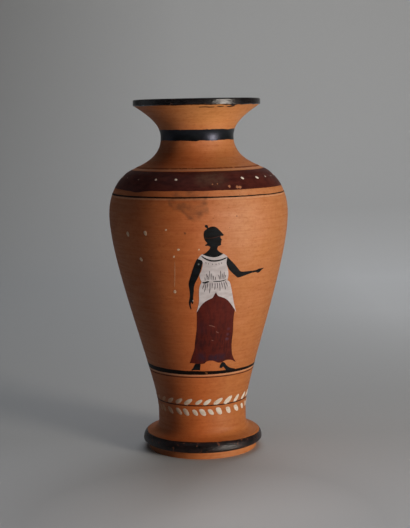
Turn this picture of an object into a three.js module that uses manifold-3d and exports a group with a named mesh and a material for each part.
// A greek-style pottery vase: a body thrown on the wheel, a turned foot, and a neck with a
// wide mouth, the last two luted to the body with slip. Over the clay lie painted coats of
// black gloss and of brown, white and dark red slip, and a standing figure with a garland
// of leaves below it. Millimetres, +Z up, origin at the centre of the face it stands on.
// The painted figure looks out along -Y.

import * as THREE from "three";
import { mergeVertices } from "three/addons/utils/BufferGeometryUtils.js";
import Module from "manifold-3d";

const wasm = await Module();
wasm.setup();

// Foot: a low disc, a rounded ring over it and a flare up to the stem
const DISC_RADIUS = 34.4;
const DISC_HEIGHT = 4.3;
const RING_OVERHANG = 3.6;
const RING_UNDER_HEIGHT = 1.4;
const RING_OVER_HEIGHT = 5.25;
const RING_TOP_SETBACK = 3.4;
const FLARE_HEIGHT = 6.85;
const STEM_RISE = 6.9;
const STEM_RADIUS = 28;
const STANDING_WIDTH = 8;
const FOOT_FLOOR = 6.5;

// Body, in rises from the stem to the belly and from the belly to the turn of the shoulder
const BELLY_RISE = 125.4;
const BELLY_RADIUS = 56.3;
const SHOULDER_RISE = 24.9;
const SHOULDER_RADIUS = 46;
const SHOULDER_SLOPE = THREE.MathUtils.degToRad(52);
const WALL = 4;
const BODY_FLOOR = 6;

// Neck and mouth
const NECK_RISE = 23.2;
const NECK_RADIUS = 22.8;
const NECK_JOINT_DROP = 12.8;
const MOUTH_RISE = 19.8;
const MOUTH_SLOPE = THREE.MathUtils.degToRad(32.7);
const LIP_RADIUS = 39.7;
const LIP_EDGE = 3.4;
const LIP_ROUND = 0.9;
const LIP_TOP_WIDTH = 4;

// Slip between the thrown pieces
const LUTING = 0.6;

// Coats: how far they stand off the clay and how thick they are
const COAT_GAP = 0.1;
const GLOSS = 0.3;
const LINE_THICKNESS = 0.25;
const FILM_LIFT = 0.12;
const FILM_THICKNESS = 0.28;
const FILM_STEP = 5;

// Painted bands and lines, by their width and their place on the outline
const NECK_BAND_WIDTH = 6.7;
const NECK_BAND_RISE = 1.6;
const SHOULDER_BAND_WIDTH = 10.9;
const SHOULDER_BAND_DROP = 2.25;
const UPPER_LINE_WIDTH = 0.6;
const UPPER_LINE_CLEARANCE = 1.3;
const LOWER_LINE_WIDTH = 0.8;
const LOWER_LINE_CLEARANCE = 3.3;
const GROUND_LINE_WIDTH = 1.7;
const GROUND_LINE_RISE = 29.5;
const FEET_CLEARANCE = 0.65;
const FINE_LINE_WIDTH = 0.7;
const FINE_LINE_CLEARANCE = 1.6;
const FOOT_GLOSS_DROP = 0.15;
const LIP_GLOSS_RUN = 2.5;

// White dots on the shoulder band, at the degrees where the brush set them down in front,
// then one after the other round the back
const DOT_RADIUS = 1;
const DOT_RISE = 0.5;
const FRONT_DOTS = [-72, -57, -41, -26, 25, 39, 49, 61];
const BACK_DOTS_FROM = 77;
const BACK_DOTS_TO = 273;
const BACK_DOT_PITCH = 15;

// Garland: a thin stem with leaves leaning up to the right and down to the right of it
const GARLAND_RISE = 7.9;
const GARLAND_STEM_WIDTH = 0.7;
const UPPER_LEAVES = 27;
const LOWER_LEAVES = 30;
const LEAF_LENGTH = 6;
const LEAF_WIDTH = 2.7;
const LEAF_ROOT = 0.45;
const UPPER_LEAF_LEAN = THREE.MathUtils.degToRad(36);
const LOWER_LEAF_LEAN = THREE.MathUtils.degToRad(-58);

// Painted figure: its height up to the crown, how many heads that is, the back of its head, and
// the rim of its cap
const FIGURE_HEIGHT = 91;
const HEADS_TALL = 8;
const HEAD_BACK = -6.4;
const CAP_RIM_HEIGHT = 85.7;
const CAP_RIM_REACH = 5.4;
const CAP_RIM_DEPTH = 0.6;

// Rows of its cap over the rim and of its neck under the chin, each from left to right
const CAP_ROWS = [
  [[-2.6, 91], [0.2, 91]],
  [[-4.3, 89.9], [1.7, 89.9]],
  [[-5.7, 88.1], [3.1, 88.1]],
  [[-6.3, 86.5], [4.9, 86.3]],
];
const NECK_ROWS = [
  [[-3.6, 78.4], [2.1, 78.4]],
  [[-3.5, 77.2], [2, 77.2]],
  [[-4.6, 75.9], [2.6, 76.1]],
  [[-6.3, 74.9], [4.2, 74.9]],
  [[-5.9, 74.4], [-0.8, 73.2], [4.9, 74.2]],
];

// Facets round the vase
const SEGMENTS = 40;

const point = (radius, height) => new THREE.Vector2(radius, height);

// Heights of the turns of the outline above the ground
const ringMiddle = DISC_HEIGHT + RING_UNDER_HEIGHT;
const ringTop = ringMiddle + RING_OVER_HEIGHT;
const flareTop = ringTop + FLARE_HEIGHT;
const stemHeight = flareTop + STEM_RISE;
const bellyHeight = stemHeight + BELLY_RISE;
const shoulderHeight = bellyHeight + SHOULDER_RISE;
const neckHeight = shoulderHeight + NECK_RISE;
const lipHeight = neckHeight + MOUTH_RISE;
const fullHeight = lipHeight + LIP_EDGE;
const neckJoint = neckHeight - NECK_JOINT_DROP;

// Points of a smooth stretch, without its first one, which ends the stretch before
function stretch(from, handleA, handleB, to, steps) {
  return new THREE.CubicBezierCurve(from, handleA, handleB, to).getPoints(steps).slice(1);
}

// A quarter of an ellipse round (centre radius, centre height), from one angle to another
function quarter(radius, height, across, up, from, to, steps) {
  const points = [];
  for (let i = 1; i <= steps; i += 1) {
    const angle = THREE.MathUtils.lerp(from, to, i / steps);
    points.push(point(radius + across * Math.cos(angle), height + up * Math.sin(angle)));
  }
  return points;
}

// The outer outline from the ground up to the top of the lip
function outerOutline() {
  const ringTopRadius = DISC_RADIUS + RING_OVERHANG - RING_TOP_SETBACK;
  const right = Math.PI / 2;
  const stem = point(STEM_RADIUS, stemHeight);
  const belly = point(BELLY_RADIUS, bellyHeight);
  const shoulder = point(SHOULDER_RADIUS, shoulderHeight);
  const neck = point(NECK_RADIUS, neckHeight);
  const lip = point(LIP_RADIUS, lipHeight);
  const upShoulder = point(-Math.cos(SHOULDER_SLOPE), Math.sin(SHOULDER_SLOPE));
  const upMouth = point(Math.cos(MOUTH_SLOPE), Math.sin(MOUTH_SLOPE));
  const shoulderRun = 0.28 * NECK_RISE;
  const mouthRun = 0.76 * MOUTH_RISE;
  return [
    point(DISC_RADIUS, 0),
    point(DISC_RADIUS, DISC_HEIGHT),
    ...quarter(DISC_RADIUS, ringMiddle, RING_OVERHANG, RING_UNDER_HEIGHT, -right, 0, 3),
    ...quarter(ringTopRadius, ringMiddle, RING_TOP_SETBACK, RING_OVER_HEIGHT, 0, right, 3),
    ...stretch(
      point(ringTopRadius, ringTop),
      point(THREE.MathUtils.lerp(ringTopRadius, STEM_RADIUS, 0.4), ringTop + 0.15 * FLARE_HEIGHT),
      point(STEM_RADIUS, flareTop - 0.8 * FLARE_HEIGHT),
      point(STEM_RADIUS, flareTop),
      6,
    ),
    stem,
    ...stretch(
      stem,
      point(STEM_RADIUS, stemHeight + 0.15 * BELLY_RISE),
      point(BELLY_RADIUS, bellyHeight - 0.256 * BELLY_RISE),
      belly,
      10,
    ),
    ...stretch(belly, point(BELLY_RADIUS, bellyHeight + 0.71 * SHOULDER_RISE), shoulder, shoulder, 5),
    ...stretch(
      shoulder,
      shoulder.clone().addScaledVector(upShoulder, shoulderRun),
      point(NECK_RADIUS, neckHeight - 0.7 * NECK_RISE),
      neck,
      7,
    ),
    ...stretch(
      neck,
      point(NECK_RADIUS, neckHeight + 0.32 * MOUTH_RISE),
      lip.clone().addScaledVector(upMouth, -mouthRun),
      lip,
      7,
    ),
    point(LIP_RADIUS, fullHeight - LIP_ROUND),
    point(LIP_RADIUS - 0.3 * LIP_ROUND, fullHeight - 0.3 * LIP_ROUND),
    point(LIP_RADIUS - LIP_ROUND, fullHeight),
  ];
}

// Moves each point of a line square to it, to its right as the line climbs
function offset(line, distance) {
  const sides = line.slice(1).map((to, i) => {
    const along = to.clone().sub(line[i]).normalize();
    return point(along.y, -along.x);
  });
  return line.map((at, i) => {
    const before = sides[Math.max(i - 1, 0)];
    const after = sides[Math.min(i, sides.length - 1)];
    const out = before.clone().add(after).normalize();
    return at.clone().addScaledVector(out, distance / out.dot(after));
  });
}

// The point of a climbing line at one height
function pointAt(line, height) {
  const found = line.findIndex((at) => at.y > height);
  const next = found < 1 ? line.length - 1 : found;
  const low = line[next - 1];
  const high = line[next];
  return low.clone().lerp(high, (height - low.y) / (high.y - low.y));
}

// The stretch of a climbing line from one height to another
function between(line, low, high) {
  const middle = line.filter((at) => at.y > low + 0.01 && at.y < high - 0.01);
  return [pointAt(line, low), ...middle, pointAt(line, high)];
}

const outline = outerOutline();
const outlineSides = offset(outline, 1).map((at, i) => at.sub(outline[i]).normalize());

// The inner outline: the wall's thickness inside the body and neck, then the mouth's own curve
function innerOutline() {
  const wallLine = offset(between(outline, stemHeight, neckHeight), -WALL);
  const rising = wallLine.filter((at, i) => i % 2 === 0 && at.y < neckHeight - WALL / 2);
  const throat = point(NECK_RADIUS - WALL, neckHeight);
  const brim = point(LIP_RADIUS - LIP_TOP_WIDTH, fullHeight);
  return [
    ...rising,
    throat,
    ...stretch(
      throat,
      point(throat.x, neckHeight + 0.4 * MOUTH_RISE),
      point(THREE.MathUtils.lerp(throat.x, brim.x, 0.5), fullHeight - 0.2 * MOUTH_RISE),
      brim,
      6,
    ),
  ];
}

const inner = innerOutline();

// A closed body turned round +Z from a profile that climbs on the outside
function turned(profile) {
  return new THREE.LatheGeometry(profile, SEGMENTS).rotateX(Math.PI / 2);
}

// A ring turned from a section that closes on itself
function turnedRing(section) {
  return turned([...section, section[0]]);
}

// A coat of one thickness over a line that climbs the outside of the clay
function coatOver(line, thickness) {
  const outside = offset(line, COAT_GAP + thickness);
  const inside = offset(line, COAT_GAP);
  return turnedRing([...outside, ...inside.reverse()]);
}

function coat(low, high, thickness) {
  return coatOver(between(outline, low, high), thickness);
}

// A painted line of one width round the vase
function paintedLine(middle, width) {
  return coat(middle - width / 2, middle + width / 2, LINE_THICKNESS);
}

function foot() {
  const hollowTop = stemHeight - FOOT_FLOOR;
  const hollowRadius = DISC_RADIUS - STANDING_WIDTH;
  const hollow = new THREE.CubicBezierCurve(
    point(0, hollowTop),
    point(0.5 * hollowRadius, hollowTop),
    point(0.9 * hollowRadius, 0.6 * hollowTop),
    point(hollowRadius, 0),
  ).getPoints(5);
  return turned([...hollow, ...between(outline, 0, stemHeight), point(0, stemHeight)]);
}

function body() {
  const bottom = stemHeight + LUTING;
  const floor = bottom + BODY_FLOOR;
  const inside = between(inner, floor, neckJoint).reverse();
  return turned([
    point(0, bottom),
    ...between(outline, bottom, neckJoint),
    ...inside,
    point(0, floor),
  ]);
}

function neckAndMouth() {
  const bottom = neckJoint + LUTING;
  const inside = between(inner, bottom, fullHeight).reverse();
  return turnedRing([...between(outline, bottom, fullHeight), ...inside]);
}

function footLuting() {
  const top = stemHeight + LUTING;
  return turned([point(0, stemHeight), ...between(outline, stemHeight, top), point(0, top)]);
}

function neckLuting() {
  const top = neckJoint + LUTING;
  return turnedRing([
    ...between(outline, neckJoint, top),
    ...between(inner, neckJoint, top).reverse(),
  ]);
}

// The gloss runs up the edge of the lip, over its top and a little way into the mouth
function lipGloss() {
  const edge = between(outline, lipHeight, fullHeight);
  const brim = pointAt(inner, fullHeight);
  return coatOver([...edge, brim, pointAt(inner, fullHeight - LIP_GLOSS_RUN)], GLOSS);
}

// A point of the wall, given by how far round it lies from a line turned from the figure's
// middle, its height, and its lift off the clay
function onWall([round, height], lift, turn) {
  const found = outline.findIndex((at) => at.y > height);
  const share = (height - outline[found - 1].y) / (outline[found].y - outline[found - 1].y);
  const at = outline[found - 1].clone().lerp(outline[found], share);
  const side = outlineSides[found - 1].clone().lerp(outlineSides[found], share).normalize();
  const angle = turn + round / at.x;
  const radius = at.x + side.x * lift;
  return new THREE.Vector3(
    radius * Math.sin(angle),
    -radius * Math.cos(angle),
    height + side.y * lift,
  );
}

// A row of points spread into an even number of steps from its first to its last
function spread(row, steps) {
  const made = [];
  for (let i = 0; i <= steps; i += 1) {
    const place = (i / steps) * (row.length - 1);
    const k = Math.min(Math.floor(place), row.length - 2);
    const t = place - k;
    made.push([0, 1].map((axis) => THREE.MathUtils.lerp(row[k][axis], row[k + 1][axis], t)));
  }
  return made;
}

// Rows added between two rows, so that no step is longer than the wall's curve allows
function filled(rows) {
  const made = [rows[0]];
  for (let i = 1; i < rows.length; i += 1) {
    const reach = Math.max(
      ...rows[i].map((at, k) => Math.hypot(at[0] - rows[i - 1][k][0], at[1] - rows[i - 1][k][1])),
    );
    const steps = Math.max(1, Math.ceil(reach / FILM_STEP));
    for (let s = 1; s <= steps; s += 1) {
      made.push(
        rows[i].map((at, k) =>
          [0, 1].map((axis) => THREE.MathUtils.lerp(rows[i - 1][k][axis], at[axis], s / steps)),
        ),
      );
    }
  }
  return made;
}

// Triangles of a closed body, turned to face outwards
function closedGeometry(points, triangles) {
  const volume = triangles.reduce(
    (sum, [a, b, c]) => sum + points[a].dot(points[b].clone().cross(points[c])),
    0,
  );
  const facing = volume < 0 ? triangles.map(([a, b, c]) => [a, c, b]) : triangles;
  const geometry = new THREE.BufferGeometry().setFromPoints(points);
  geometry.setIndex(facing.flat());
  geometry.computeVertexNormals();
  return geometry;
}

// A thin layer of slip brushed on the wall. Each row runs across it, from one edge to the other.
function film(rows, columns, lift = FILM_LIFT, turn = 0) {
  const grid = filled(rows.map((row) => spread(row, columns)));
  const wide = columns + 1;
  const layer = grid.length * wide;
  const under = grid.flat().map((at) => onWall(at, lift, turn));
  const over = grid.flat().map((at) => onWall(at, lift + FILM_THICKNESS, turn));
  const triangles = [];
  const quad = (a, b, c, d) => triangles.push([a, b, c], [a, c, d]);
  const last = layer - wide;
  for (let j = 0; j < columns; j += 1) {
    quad(j, j + 1, layer + j + 1, layer + j);
    quad(last + j, layer + last + j, layer + last + j + 1, last + j + 1);
  }
  for (let a = 0; a < last; a += wide) {
    const b = a + columns;
    quad(a, layer + a, layer + a + wide, a + wide);
    quad(b, b + wide, layer + b + wide, layer + b);
    for (let k = a; k < b; k += 1) {
      quad(layer + k, layer + k + 1, layer + k + wide + 1, layer + k + wide);
      quad(k, k + wide, k + wide + 1, k + 1);
    }
  }
  return closedGeometry([...under, ...over], triangles);
}

// A stroke of the brush from a starting point: narrow, full, and narrow again at its tip
function stroke(start, lean, length, width) {
  const shape = [
    [0, 0.3],
    [0.45, 1],
    [1, 0.2],
  ];
  const along = [Math.cos(lean), Math.sin(lean)];
  return shape.map(([share, fullness]) => {
    const middle = start.map((value, axis) => value + along[axis] * share * length);
    const half = (fullness * width) / 2;
    return [
      [middle[0] - along[1] * half, middle[1] + along[0] * half],
      [middle[0] + along[1] * half, middle[1] - along[0] * half],
    ];
  });
}

function solidOf(geometry) {
  const bare = geometry.clone();
  bare.deleteAttribute("normal");
  bare.deleteAttribute("uv");
  const merged = mergeVertices(bare, 1e-4);
  const corners = merged.index.array;
  const kept = [];
  for (let i = 0; i < corners.length; i += 3) {
    const [a, b, c] = corners.slice(i, i + 3);
    if (a !== b && b !== c && c !== a) kept.push(a, b, c);
  }
  const mesh = new wasm.Mesh({
    numProp: 3,
    vertProperties: merged.attributes.position.array,
    triVerts: new Uint32Array(kept),
  });
  return new wasm.Manifold(mesh);
}

function geometryOf(solid) {
  const mesh = solid.getMesh();
  const geometry = new THREE.BufferGeometry();
  geometry.setAttribute("position", new THREE.BufferAttribute(mesh.vertProperties, 3));
  geometry.setIndex(new THREE.BufferAttribute(mesh.triVerts, 1));
  geometry.computeVertexNormals();
  return geometry;
}

// The stem of the garland with its leaves grown from it
function garland() {
  const middle = stemHeight + GARLAND_RISE;
  let grown = solidOf(paintedLine(middle, GARLAND_STEM_WIDTH));
  const rows = [
    [UPPER_LEAVES, UPPER_LEAF_LEAN, LEAF_ROOT],
    [LOWER_LEAVES, LOWER_LEAF_LEAN, -LEAF_ROOT],
  ];
  for (const [count, lean, root] of rows) {
    for (let i = 0; i < count; i += 1) {
      const turn = ((i + (lean > 0 ? 0 : 0.5)) / count) * 2 * Math.PI;
      const shape = stroke([0, middle + root], lean, LEAF_LENGTH, LEAF_WIDTH);
      const leaf = film(shape, 1, FILM_LIFT, turn);
      grown = grown.add(solidOf(leaf));
    }
  }
  return geometryOf(grown);
}

// Heights of the painted bands
const bandMiddle = shoulderHeight - SHOULDER_BAND_DROP;
const bandTop = bandMiddle + SHOULDER_BAND_WIDTH / 2;
const bandBottom = bandMiddle - SHOULDER_BAND_WIDTH / 2;
const neckBandMiddle = neckHeight + NECK_BAND_RISE;
const groundLine = stemHeight + GROUND_LINE_RISE;
const groundTop = groundLine + GROUND_LINE_WIDTH / 2;
const feetHeight = groundTop + FEET_CLEARANCE;
const fineLine = groundLine - GROUND_LINE_WIDTH / 2 - FINE_LINE_CLEARANCE - FINE_LINE_WIDTH / 2;

// A round dab of white on the shoulder band
function dot(degrees) {
  const height = bandMiddle + DOT_RISE;
  const rows = [
    [0.38, 0.92],
    [0.92, 0.38],
    [0.92, -0.38],
    [0.38, -0.92],
  ].map(([half, up]) => [
    [-half * DOT_RADIUS, height + up * DOT_RADIUS],
    [half * DOT_RADIUS, height + up * DOT_RADIUS],
  ]);
  const turn = THREE.MathUtils.degToRad(degrees);
  return film(rows, 1, COAT_GAP + GLOSS + FILM_LIFT, turn);
}

function dotAngles() {
  const angles = [...FRONT_DOTS];
  for (let at = BACK_DOTS_FROM; at <= BACK_DOTS_TO; at += BACK_DOT_PITCH) angles.push(at);
  return angles;
}

// The head is an eighth of the figure's height, and seven eighths as deep as it is high, with
// the nose's foot a quarter and the mouth a sixth of its height above the chin. Each row of the
// face is given as shares of the head: in from its back, out from its front, and up.
function headRows() {
  const head = FIGURE_HEIGHT / HEADS_TALL;
  const chin = FIGURE_HEIGHT - head;
  const front = HEAD_BACK + 0.875 * head;
  const shares = [
    [0.035, 0.01, 0.38],
    [0.07, 0.09, 0.28],
    [0.09, 0.04, 0.25],
    [0.1, 0.05, 0.167],
    [0.11, 0.03, 0.107],
    [0.12, 0.05, 0.04],
    [0.16, 0, 0],
  ];
  return [
    ...CAP_ROWS,
    [[HEAD_BACK, CAP_RIM_HEIGHT], [CAP_RIM_REACH, CAP_RIM_HEIGHT]],
    [[HEAD_BACK, CAP_RIM_HEIGHT - CAP_RIM_DEPTH], [front, CAP_RIM_HEIGHT - CAP_RIM_DEPTH]],
    ...shares.map(([inwards, outwards, up]) => [
      [HEAD_BACK + inwards * head, chin + up * head],
      [front + outwards * head, chin + up * head],
    ]),
    ...NECK_ROWS,
  ];
}

// The figure, in millimetres round the wall from its middle line and up from the ground line
const figure = {
  figure_head: {
    slip: "black",
    columns: 4,
    rows: headRows(),
  },
  figure_left_arm: {
    slip: "black",
    columns: 1,
    rows: [
      [[-10.6, 71], [-8.5, 69.8]],
      [[-11.3, 69.2], [-8.1, 67]],
      [[-12.2, 66], [-8.3, 64.7]],
      [[-14.1, 59.5], [-9.9, 59.5]],
      [[-14.9, 56.9], [-10.9, 56.6]],
      [[-14.9, 54.3], [-11.1, 54.3]],
      [[-13.9, 47.7], [-12.4, 48.4]],
      [[-14.7, 45.7], [-12.5, 44.8]],
      [[-14.8, 43.7], [-12.9, 43]],
      [[-13.7, 40.2], [-13.1, 40]],
    ],
  },
  figure_right_arm: {
    slip: "black",
    columns: 1,
    rows: [
      [[8.2, 71.8], [8.2, 68.6]],
      [[9.9, 70.1], [8.7, 65.9]],
      [[12.4, 67.3], [10.2, 63.5]],
      [[16.7, 63.2], [15, 59]],
      [[19.9, 62.4], [19.5, 59.8]],
      [[24.6, 62.6], [24.7, 61.1]],
      [[28.5, 62.9], [28.9, 60.9]],
      [[30.7, 63.7], [30.9, 61]],
      [[32.6, 63.8], [32.6, 61.8]],
      [[35.6, 63.3], [35.6, 62.7]],
    ],
  },
  figure_tunic: {
    slip: "white",
    columns: 4,
    rows: [
      [[-9.3, 72.6], [-6.4, 74.2], [-0.8, 72.3], [5.4, 74], [7.7, 72.4]],
      [[-7.4, 69.5], [7.6, 69]],
      [[-7.2, 65.3], [7.5, 64]],
      [[-7.2, 58.4], [7.4, 58.6]],
    ],
  },
  figure_belt: {
    slip: "brown",
    columns: 4,
    rows: [
      [[-7.2, 58], [7.9, 58.3]],
      [[-7.3, 57.3], [8.2, 57.7]],
    ],
  },
  figure_peplum: {
    slip: "white",
    columns: 8,
    rows: [
      [[-7.5, 56.9], [8.6, 57.3]],
      [[-8.2, 53], [10.6, 53]],
      [
        [-9.9, 39.3], [-8.1, 42], [-5, 44.9], [-1.4, 47.2], [1.7, 50.8],
        [4.4, 48.1], [8.2, 45.9], [12, 41.8], [15, 37.2],
      ],
    ],
  },
  figure_skirt: {
    slip: "red",
    columns: 8,
    rows: [
      [
        [-9.6, 38.8], [-8, 41.5], [-4.9, 44.3], [-1.3, 46.6], [1.7, 50.1],
        [4.3, 47.5], [8.1, 45.3], [11.8, 41.3], [13.9, 38.1],
      ],
      [[-9.8, 33.6], [13.7, 33.6]],
      [[-10.3, 17.9], [13.4, 18.5]],
      [[-11.3, 10.3], [13.1, 11.6]],
      [
        [-13.1, 5.7], [-9, 5.2], [-5, 4.9], [-1.6, 6.4], [1.4, 6.6],
        [4.8, 5.5], [9, 6.7], [13, 5.8], [16.6, 4.4],
      ],
    ],
  },
  figure_left_shoe: {
    slip: "black",
    columns: 1,
    rows: [
      [[-8.6, 4.2], [-7, 4.2]],
      [[-11.2, 2], [-6.6, 2]],
      [[-12.2, 0.3], [-6.6, 0.3]],
    ],
  },
  figure_right_shoe: {
    slip: "black",
    columns: 2,
    rows: [
      [[7.2, 4.5], [9.2, 4.5]],
      [[6, 1.8], [11.3, 1.8]],
      [[6, 0.3], [13.4, 0.3]],
    ],
  },
};

// A film of the figure, stood on the top of the ground line
function figureFilm({ rows, columns }) {
  const standing = rows.map((row) => row.map(([round, up]) => [round, feetHeight + up]));
  return film(standing, columns);
}

// Finishes
function finish(color, roughness) {
  return () => new THREE.MeshStandardMaterial({ color, roughness, metalness: 0 });
}

const finishes = {
  clay: finish(0xb8754a, 0.8),
  luting: finish(0xa96a42, 0.85),
  black: finish(0x171413, 0.35),
  brown: finish(0x4a2c25, 0.6),
  white: finish(0xb9ada0, 0.85),
  red: finish(0x57241c, 0.75),
};

const vase = new THREE.Group();

function add(name, geometry, slip) {
  const mesh = new THREE.Mesh(geometry, finishes[slip]());
  mesh.name = name;
  vase.add(mesh);
}

add("foot", foot(), "clay");
add("foot_luting_slip", footLuting(), "luting");
add("body", body(), "clay");
add("neck_luting_slip", neckLuting(), "luting");
add("neck_and_mouth", neckAndMouth(), "clay");

add("foot_gloss", coat(DISC_HEIGHT + COAT_GAP, ringTop - FOOT_GLOSS_DROP, GLOSS), "black");
add("laurel_garland", garland(), "white");
add("ground_fine_line", paintedLine(fineLine, FINE_LINE_WIDTH), "brown");
add("ground_line", paintedLine(groundLine, GROUND_LINE_WIDTH), "black");
add(
  "shoulder_lower_line",
  paintedLine(bandBottom - LOWER_LINE_CLEARANCE - LOWER_LINE_WIDTH / 2, LOWER_LINE_WIDTH),
  "black",
);
add("shoulder_band", coat(bandBottom, bandTop, GLOSS), "brown");
add(
  "shoulder_upper_line",
  paintedLine(bandTop + UPPER_LINE_CLEARANCE + UPPER_LINE_WIDTH / 2, UPPER_LINE_WIDTH),
  "brown",
);
add(
  "neck_gloss_band",
  coat(neckBandMiddle - NECK_BAND_WIDTH / 2, neckBandMiddle + NECK_BAND_WIDTH / 2, GLOSS),
  "black",
);
add("lip_gloss", lipGloss(), "black");

dotAngles().forEach((degrees, i) => {
  add("shoulder_dot_" + String(i + 1).padStart(2, "0"), dot(degrees), "white");
});

for (const [name, part] of Object.entries(figure)) add(name, figureFilm(part), part.slip);

export default vase;
